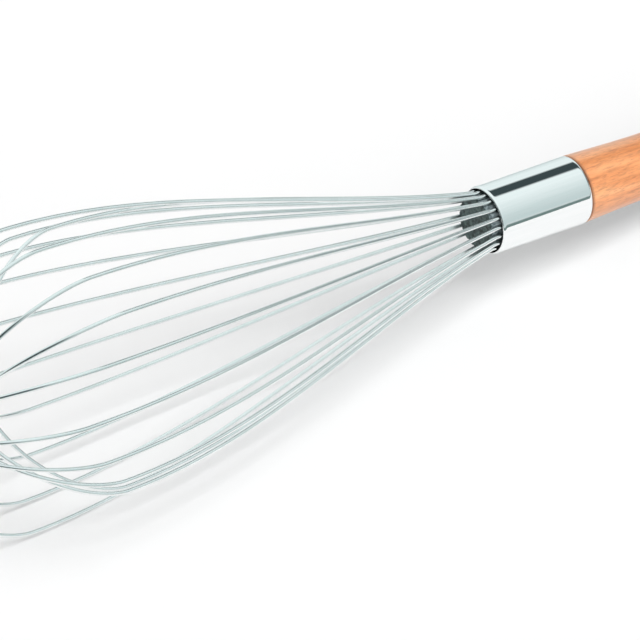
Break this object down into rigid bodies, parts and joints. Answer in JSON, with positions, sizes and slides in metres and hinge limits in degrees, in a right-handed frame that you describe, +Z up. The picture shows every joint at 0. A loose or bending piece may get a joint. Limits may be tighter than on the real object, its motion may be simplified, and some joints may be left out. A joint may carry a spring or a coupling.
{
  "type": "balloon whisk",
  "caption": "Balloon whisk with round steel wire loops, a polished steel ferrule and a turned wooden handle with a hanging hole.",
  "frame": {"origin": "under the middle of the whisk's box, on the surface that it rests on", "axes": "+Z up; +X horizontally from the balloon's tip towards the handle's butt; the whisk rests on two wires and the handle's end, its axis rising about 7 degrees towards the tip"},
  "size_m": [0.4258, 0.1114, 0.1103],
  "materials": {
    "handle_wood": "oiled, fine lengthwise grain",
    "ferrule_steel": "mirror polished",
    "wire_steel": "bright drawn",
    "core_steel": "dull, as cut",
    "resin": "cast, dark"
  },
  "bodies": {
    "root": {"handle": "handle_wood", "ferrule": "ferrule_steel", "wire_core": "core_steel", "potting": "resin", "wire_loop_1": "wire_steel", "wire_loop_2": "wire_steel", "wire_loop_3": "wire_steel", "wire_loop_4": "wire_steel", "wire_loop_5": "wire_steel", "wire_loop_6": "wire_steel", "wire_loop_7": "wire_steel", "wire_loop_8": "wire_steel", "wire_loop_9": "wire_steel", "wire_loop_10": "wire_steel"}
  },
  "joints": []
}
